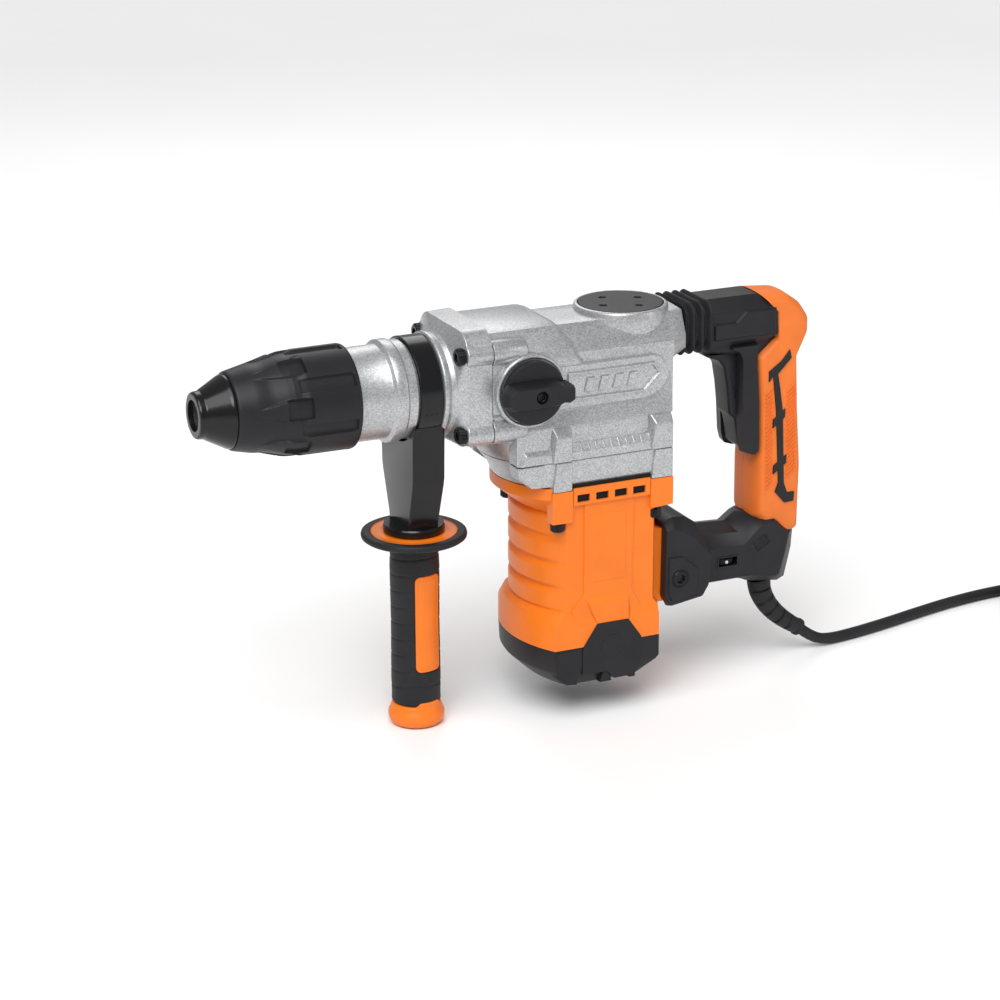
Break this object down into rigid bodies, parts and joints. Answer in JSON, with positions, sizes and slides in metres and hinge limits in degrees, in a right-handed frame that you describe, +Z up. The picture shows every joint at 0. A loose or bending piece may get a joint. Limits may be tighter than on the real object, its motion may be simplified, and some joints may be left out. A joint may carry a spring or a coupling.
{
  "type": "rotary hammer",
  "caption": "Corded rotary hammer: sleeve chuck, die-cast gear case, upright motor, side handle on a clamp band and a pivoting D-handle with trigger and coiled cord.",
  "frame": {"origin": "centre of the motor axis at the flat foot under the motor end cap", "axes": "+X from the tool holder's nose to the rear D-handle along the hammer axis, which is 215 mm above the origin; +Y to the side away from the mode knob; +Z up along the motor axis"},
  "size_m": [0.759, 0.1715, 0.2804],
  "materials": {
    "bearing_steel": "fine ground",
    "black_plastic": "moulded, fine grain",
    "black_rubber": "moulded, matt",
    "black_steel": "black oxide, oiled",
    "carbon": "pressed carbon",
    "copper": "turned",
    "die_cast": "cast, blasted, satin",
    "laminated_steel": "stacked sheet",
    "orange_plastic": "moulded, satin",
    "orange_rubber": "moulded with a soft-touch skin",
    "spring_steel": "drawn",
    "steel": "ground"
  },
  "bodies": {
    "casing": {"bearing_plate": "die_cast", "bellows": "black_rubber", "carbon_brush_front": "carbon", "carbon_brush_rear": "carbon", "connecting_rod": "steel", "cord_coil": "black_rubber", "crankshaft": "steel", "front_bolt_1": "black_steel", "front_bolt_2": "black_steel", "front_bolt_3": "black_steel", "front_bolt_4": "black_steel", "front_housing": "die_cast", "front_seal": "black_rubber", "gear_housing": "die_cast", "gear_housing_base": "die_cast", "lower_motor_bearing": "bearing_steel", "motor_bolt_1": "black_steel", "motor_bolt_2": "black_steel", "motor_bolt_3": "black_steel", "motor_bolt_4": "black_steel", "motor_end_cap": "black_plastic", "motor_housing": "orange_plastic", "piston": "steel", "pivot_bolt": "black_steel", "power_cord": "black_rubber", "power_plug": "black_rubber", "spindle_bearing": "bearing_steel", "stator_core": "laminated_steel", "top_cover": "black_plastic", "upper_motor_bearing": "bearing_steel"},
    "spindle": {"tool_holder": "steel", "hammer_tube": "steel", "bevel_gear": "steel", "dust_cap": "black_rubber", "locking_roller_upper": "bearing_steel", "locking_roller_lower": "bearing_steel", "sleeve_spring": "spring_steel"},
    "sleeve": {"chuck_sleeve": "black_plastic"},
    "impact_bolt": {"impact_bolt": "bearing_steel"},
    "striker": {"striker": "bearing_steel"},
    "armature": {"armature_shaft": "steel", "rotor_core": "laminated_steel", "commutator": "copper", "cooling_fan": "black_plastic"},
    "crank_gear": {"crank_gear": "steel"},
    "bevel_shaft": {"bevel_pinion_shaft": "steel"},
    "mode_knob": {"mode_knob": "black_plastic", "knob_screw": "black_steel"},
    "side_handle": {"clamp_band": "black_steel", "clamp_yoke": "black_plastic", "hand_guard": "black_rubber"},
    "grip": {"side_grip": "black_rubber", "side_grip_cap": "orange_plastic"},
    "rear_handle": {"rear_handle_left": "orange_rubber", "rear_handle_right": "orange_rubber", "handle_yoke": "black_plastic", "trigger_switch": "black_plastic", "strain_relief": "black_rubber"},
    "trigger": {"trigger": "black_plastic"},
    "speed_dial": {"speed_dial": "black_plastic"}
  },
  "joints": [
    {"name": "armature_spin", "type": "hinge", "parent": "casing", "child": "armature", "pos_m": [0, 0, 0.085], "axis": [0, 0, 1], "continuous": true},
    {"name": "crank_gear_spin", "type": "hinge", "parent": "casing", "child": "crank_gear", "pos_m": [0.036, 0, 0.168], "axis": [0, 0, 1], "continuous": true},
    {"name": "bevel_shaft_spin", "type": "hinge", "parent": "casing", "child": "bevel_shaft", "pos_m": [-0.026, 0, 0.168], "axis": [0, 0, 1], "continuous": true},
    {"name": "spindle_spin", "type": "hinge", "parent": "casing", "child": "spindle", "pos_m": [-0.1, 0, 0.215], "axis": [1, 0, 0], "continuous": true},
    {"name": "sleeve_pull", "type": "slide", "parent": "spindle", "child": "sleeve", "axis": [1, 0, 0], "range_m": [0, 0.008], "stiffness_N_per_m": 1500, "springref_m": -0.006, "deforming": ["sleeve_spring"]},
    {"name": "impact_bolt_slide", "type": "slide", "parent": "spindle", "child": "impact_bolt", "axis": [-1, 0, 0], "range_m": [0, 0.004]},
    {"name": "striker_slide", "type": "slide", "parent": "spindle", "child": "striker", "axis": [-1, 0, 0], "range_m": [0, 0.018]},
    {"name": "mode_knob_turn", "type": "hinge", "parent": "casing", "child": "mode_knob", "pos_m": [-0.051, -0.05, 0.215], "axis": [0, -1, 0], "range_deg": [-90, 90]},
    {"name": "side_handle_swing", "type": "hinge", "parent": "casing", "child": "side_handle", "pos_m": [-0.1175, 0, 0.215], "axis": [1, 0, 0], "continuous": true},
    {"name": "grip_turn", "type": "hinge", "parent": "side_handle", "child": "grip", "pos_m": [-0.1175, 0, 0.05], "axis": [0, 0, 1], "range_deg": [0, 720]},
    {"name": "rear_handle_damping", "type": "hinge", "parent": "casing", "child": "rear_handle", "pos_m": [0.061, 0, 0.067], "axis": [0, -1, 0], "range_deg": [0, 2.5], "stiffness_Nm_per_rad": 90, "springref_deg": -3.44, "deforming": ["bellows"]},
    {"name": "trigger_pull", "type": "hinge", "parent": "rear_handle", "child": "trigger", "pos_m": [0.116, 0, 0.206], "axis": [0, -1, 0], "range_deg": [0, 6], "stiffness_Nm_per_rad": 1.2, "springref_deg": -8.59},
    {"name": "speed_dial_turn", "type": "hinge", "parent": "rear_handle", "child": "speed_dial", "pos_m": [0.111, -0.0115, 0.063], "axis": [0, 0, 1], "range_deg": [-135, 135]}
  ],
  "couplings": [
    {"joint": "crank_gear_spin", "follows": "armature_spin", "ratio": -0.24138},
    {"joint": "bevel_shaft_spin", "follows": "armature_spin", "ratio": -0.36842},
    {"joint": "spindle_spin", "follows": "armature_spin", "ratio": 0.12281}
  ]
}
